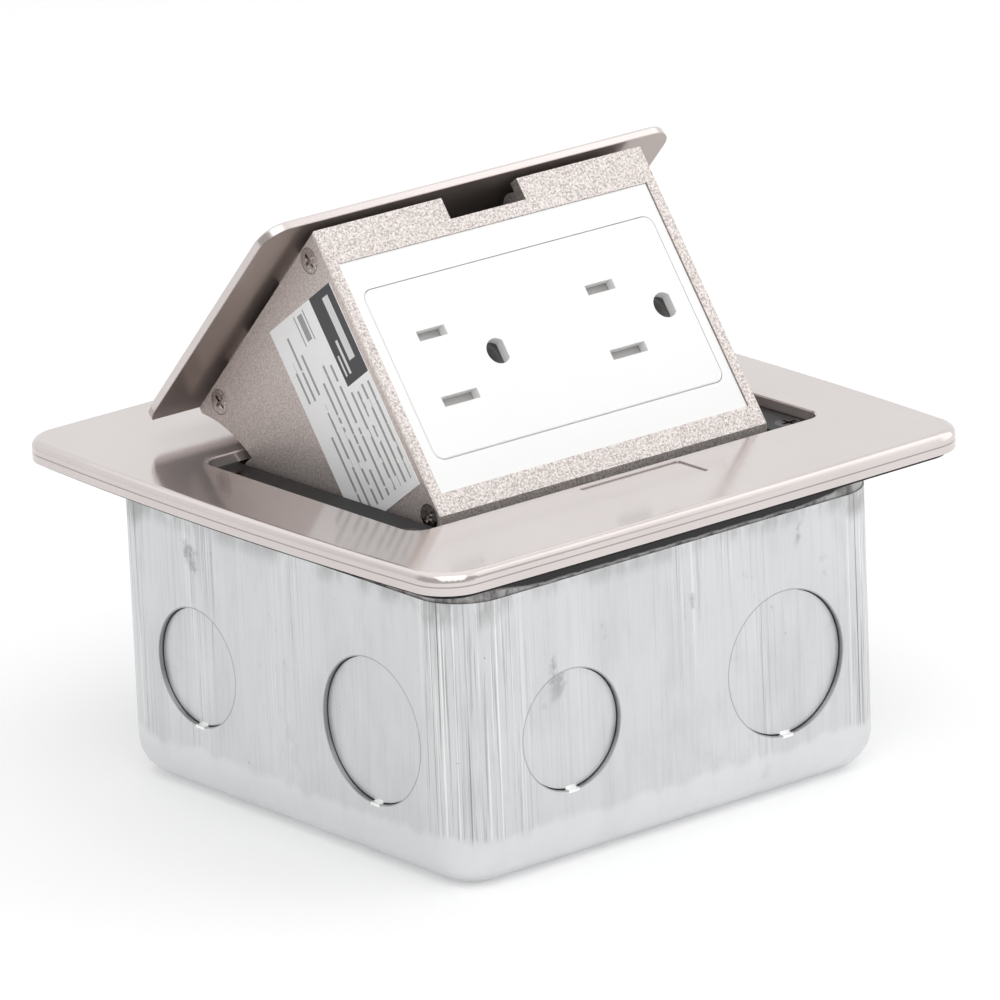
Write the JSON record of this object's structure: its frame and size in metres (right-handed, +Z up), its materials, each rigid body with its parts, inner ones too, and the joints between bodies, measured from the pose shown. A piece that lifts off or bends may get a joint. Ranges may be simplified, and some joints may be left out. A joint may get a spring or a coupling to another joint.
{
  "type": "floor socket box",
  "caption": "Square pop-up floor socket box: a sprung duplex receptacle housing tilts up out of a flush satin nickel cover over a drawn steel back box with knockouts.",
  "frame": {"origin": "middle of the back box's underside", "axes": "+X to the right along the socket side, +Y towards the hinge side, +Z up out of the floor"},
  "size_m": [0.1264, 0.123, 0.1115],
  "materials": {
    "galvanised_steel": "drawn, bright zinc-coated, vertical draw marks",
    "satin_nickel": "satin nickel plate",
    "cast_cheek": "bead-blasted, nickel grey, matt",
    "cast_strip": "bead-blasted, nickel grey, matt",
    "white_plastic": "smooth moulded white",
    "grey_plastic": "moulded light grey",
    "black_moulding": "moulded black",
    "black_foam": "black closed-cell foam",
    "zinc_screw": "zinc plate",
    "zinc_plate": "zinc-plated sheet",
    "spring_steel": "drawn spring wire",
    "brass": "rolled brass",
    "green_screw": "green dyed zinc",
    "label_film": "matt silver-grey label film"
  },
  "bodies": {
    "floor_box": {"back_box": "galvanised_steel", "box_ears": "galvanised_steel", "earth_screw": "green_screw", "cover_frame": "satin_nickel", "gasket": "black_foam", "support_frame": "black_moulding", "fixing_screws": "zinc_screw", "cover_nuts": "zinc_screw", "hinge_rod": "zinc_screw", "retaining_clip": "spring_steel", "torsion_spring_left": "spring_steel", "torsion_spring_right": "spring_steel", "latch_spring_left": "spring_steel", "latch_spring_right": "spring_steel"},
    "socket_housing": {"lid": "satin_nickel", "cheek_left": "cast_cheek", "cheek_right": "cast_cheek", "cheek_screws_left": "zinc_screw", "cheek_screws_right": "zinc_screw", "lid_nuts": "zinc_screw", "face_top_strip": "cast_strip", "face_base_strip": "cast_strip", "rear_bar": "cast_strip", "insert_plate": "white_plastic", "rating_label": "label_film", "receptacle_face": "white_plastic", "receptacle_body": "grey_plastic", "receptacle_back": "white_plastic", "mounting_strap": "zinc_plate", "strap_screws": "zinc_screw", "hot_contact": "brass", "neutral_contact": "brass", "earth_contact": "brass", "hot_terminal_screws": "brass", "neutral_terminal_screws": "zinc_screw", "earth_terminal_screw": "green_screw", "shutter_spring_left": "spring_steel", "shutter_spring_right": "spring_steel"},
    "release_button": {"release_button": "satin_nickel"},
    "latch_slide": {"latch_slide": "zinc_plate"},
    "shutter_left": {"shutter_left": "grey_plastic"},
    "shutter_right": {"shutter_right": "grey_plastic"}
  },
  "joints": [
    {"name": "popup_hinge", "type": "hinge", "parent": "floor_box", "child": "socket_housing", "pos_m": [0, 0.0369, 0.0443], "axis": [1, 0, 0], "range_deg": [0, 48], "stiffness_Nm_per_rad": 0.12, "springref_deg": -80.21, "deforming": ["torsion_spring_left", "torsion_spring_right"]},
    {"name": "release_button_press", "type": "slide", "parent": "floor_box", "child": "release_button", "axis": [0, 0, -1], "range_m": [0, 0.0015], "stiffness_N_per_m": 300, "springref_m": -0.002},
    {"name": "latch_draw", "type": "slide", "parent": "floor_box", "child": "latch_slide", "axis": [0, -1, 0], "range_m": [0, 0.0015], "deforming": ["latch_spring_left", "latch_spring_right"]},
    {"name": "shutter_left_slide", "type": "slide", "parent": "socket_housing", "child": "shutter_left", "axis": [0, 0.5821, 0.8131], "range_m": [0, 0.003], "stiffness_N_per_m": 60, "springref_m": -0.002, "deforming": ["shutter_spring_left"]},
    {"name": "shutter_right_slide", "type": "slide", "parent": "socket_housing", "child": "shutter_right", "axis": [0, 0.5821, 0.8131], "range_m": [0, 0.003], "stiffness_N_per_m": 60, "springref_m": -0.002, "deforming": ["shutter_spring_right"]}
  ],
  "couplings": [
    {"joint": "latch_draw", "follows": "release_button_press", "ratio": 1}
  ]
}
